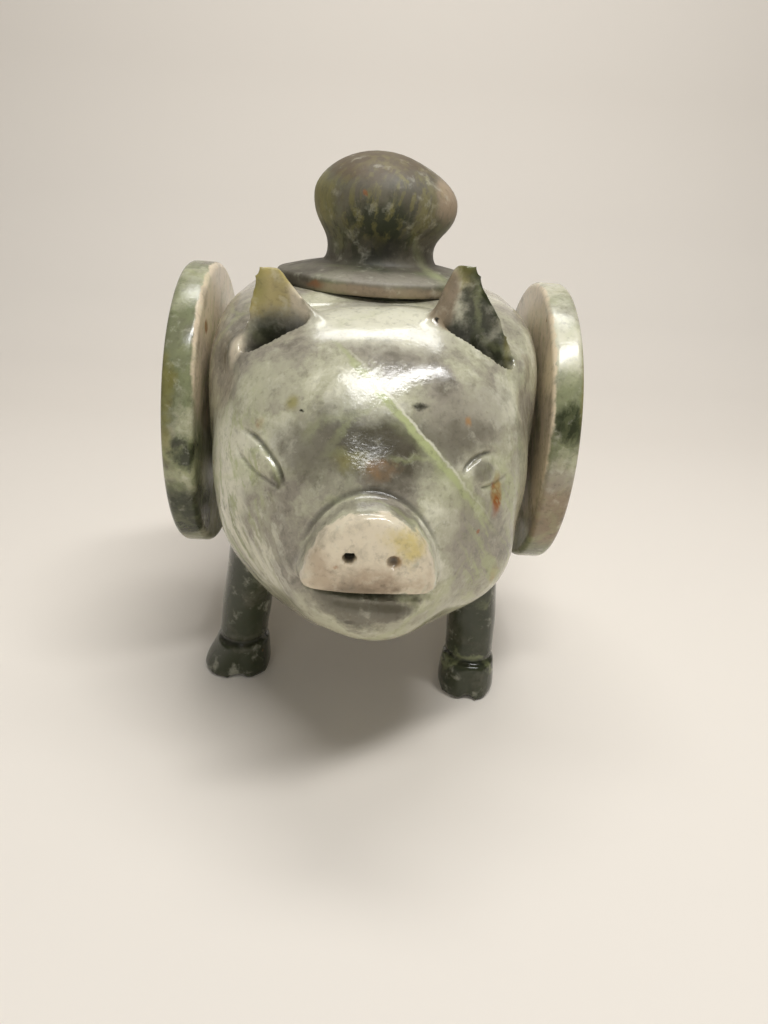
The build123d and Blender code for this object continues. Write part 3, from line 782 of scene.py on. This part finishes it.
mesh.set_sharp_from_angle(angle=LID_SHARP_ANGLE)
lid = as_object("lid_stone", mesh)
lid_stains = [
    (SLATE, 0.70, 0.3, (0, -2, 84), (13, 16, 12), None),
    (OLIVE, 0.70, 0.3, (-12, 0, 82), (5, 10, 8), None),
    (BARK, 0.92, 0.5, (-1, 0, 90), (14, 14, 6.5), None),
    (ROSE, 0.85, 0.3, (11, -1, 84), (4.5, 9, 6), None),
    # Darker at the knob's foot, front and middle: partly dark green stone, partly painted shade in the neck
    # under the flare.
    (MOSS, 0.92, 0.3, (-0.5, -6, 78), (8, 8, 6.5), None),
    (BLACK, 0.85, 0.3, (-1, -6, 74), (8, 7, 4.5), None),
    (FERN, 0.60, 0.2, (8, -7, 74), (1.8, 9, 7), (0.8, 0.2, 0.55)),
    (LAVENDER, 0.75, 0.4, (0, -12, 71.5), (18, 8, 1.6), None),
    (ROSE, 0.60, 0.4, (0, -12, 69.5), (19, 9, 1.2), None),
    (RUST, 0.60, 0.2, (-10, -9, 69.8), (2.4, 2.4, 0.9), None),
]
lid_fibres = (
    (MOSS, 0.70, (0.1, 0.1, 1.0), (0, 0, 79), (13, 14, 8)),
    (OLIVE, 0.50, (0.2, 0.1, 1.0), (0, 0, 82), (14, 14, 9)),
)
mesh.materials.append(
    polished_stone("lid_stone", (DUSK, SLATE, SAGE), lid_fibres, lid_stains, (0.50, 0.65), 0.0)
)
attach(lid, "lid")
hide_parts("lid")

# The stage: a sweep of cream card that the pig stands on.
# Two soft panels above and one before it give the light.
CARD = (0.86, 0.80, 0.72)
CARD_ROUGHNESS = 0.8
CARD_HALF_WIDTH = 1.2
CARD_PROFILE = (
    (-1.0, 0.0), (0.16, 0.0), (0.21, 0.006), (0.26, 0.03), (0.30, 0.075), (0.33, 0.14), (0.34, 1.2),
)
shape = bmesh.new()
line = [shape.verts.new((-CARD_HALF_WIDTH, y, z)) for y, z in CARD_PROFILE]
edges = [shape.edges.new(pair) for pair in zip(line, line[1:])]
swept = bmesh.ops.extrude_edge_only(shape, edges=edges)["geom"]
moved = [g for g in swept if isinstance(g, bmesh.types.BMVert)]
bmesh.ops.translate(shape, verts=moved, vec=(2 * CARD_HALF_WIDTH, 0.0, 0.0))
bmesh.ops.recalc_face_normals(shape, faces=shape.faces)
mesh = bpy.data.meshes.new("card")
shape.to_mesh(mesh)
shape.free()
mesh.shade_smooth()
card = as_object("card", mesh)
paper = bpy.data.materials.new("card")
paper.use_nodes = True
paper.node_tree.nodes["Principled BSDF"].inputs["Base Color"].default_value = (*CARD, 1.0)
paper.node_tree.nodes["Principled BSDF"].inputs["Roughness"].default_value = CARD_ROUGHNESS
mesh.materials.append(paper)

PANEL_AIM = Vector((0.0, 0.0, 0.05))
# Each panel has a place, a size, a power in watts and whether the polish mirrors it
PANELS = (
    ("front_panel", (0.08, -0.15, 0.46), (0.30, 0.06), 1.32, True),
    ("back_panel", (0.015, 0.11, 0.46), (0.30, 0.09), 0.66, True),
    ("fill_panel", (-0.06, -0.55, 0.13), (0.40, 0.20), 0.75, False),
)
SKY = (1.0, 0.99, 0.96)
SKY_STRENGTH = 0.11
for name, place, size, power, mirrored in PANELS:
    lamp = bpy.data.lights.new(name, "AREA")
    lamp.shape = "RECTANGLE"
    lamp.size, lamp.size_y = size
    lamp.energy = power
    panel = bpy.data.objects.new(name, lamp)
    panel.location = place
    panel.visible_glossy = mirrored
    panel.rotation_euler = (PANEL_AIM - panel.location).to_track_quat("-Z", "Y").to_euler()
    bpy.context.scene.collection.objects.link(panel)
sky = bpy.data.worlds.new("sky")
sky.use_nodes = True
sky.node_tree.nodes["Background"].inputs["Color"].default_value = (*SKY, 1.0)
sky.node_tree.nodes["Background"].inputs["Strength"].default_value = SKY_STRENGTH
bpy.context.scene.world = sky
bpy.context.scene.view_settings.view_transform = "Standard"

# The camera: close in front of the snout, level with the knob, tilted down and slightly rolled.
CAMERA_PLACE = Vector((-2.6, -134.0, 83.7)) * MM
CAMERA_YAW = math.radians(2.6)
CAMERA_PITCH = math.radians(22.5)
CAMERA_ROLL = math.radians(3.95)
FOCAL_PIXELS = 770.0
LONG_SIDE_PIXELS = 1024.0
NEAREST_SEEN = 10.0 * MM
eye = bpy.data.cameras.new("camera")
eye.sensor_width = 36.0
eye.lens = eye.sensor_width * FOCAL_PIXELS / LONG_SIDE_PIXELS
eye.clip_start = NEAREST_SEEN
camera = bpy.data.objects.new("camera", eye)
turn = Matrix.Rotation(-CAMERA_YAW, 4, "Z") @ Matrix.Rotation(math.pi / 2 - CAMERA_PITCH, 4, "X")
camera.matrix_world = Matrix.Translation(CAMERA_PLACE) @ turn @ Matrix.Rotation(CAMERA_ROLL, 4, "Z")
bpy.context.scene.collection.objects.link(camera)
bpy.context.scene.camera = camera
